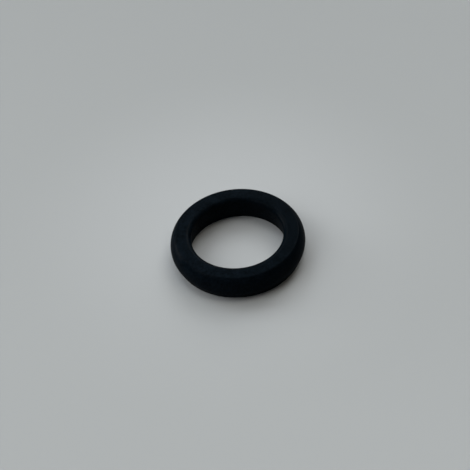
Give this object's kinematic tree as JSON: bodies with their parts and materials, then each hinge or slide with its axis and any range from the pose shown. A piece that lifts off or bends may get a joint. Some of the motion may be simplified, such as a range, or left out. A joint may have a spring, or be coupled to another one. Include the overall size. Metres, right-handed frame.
{
  "type": "rubber gasket",
  "caption": "Black moulded rubber sealing ring with flat faces, rounded edges, a bore that opens out below and a crowned outer side; it seals round a pipe when squeezed.",
  "frame": {"origin": "centre of the lower flat face, on the axis of the ring", "axes": "+Z along the axis of the ring, up from the face it lies on; X and Y lie in that face and any turn about Z is the same"},
  "size_m": [0.0308, 0.0308, 0.0063],
  "materials": {
    "moulded_rubber": "dull black moulded rubber, faintly bluish, low gloss"
  },
  "bodies": {
    "root": {"gasket_ring": "moulded_rubber"}
  },
  "joints": []
}
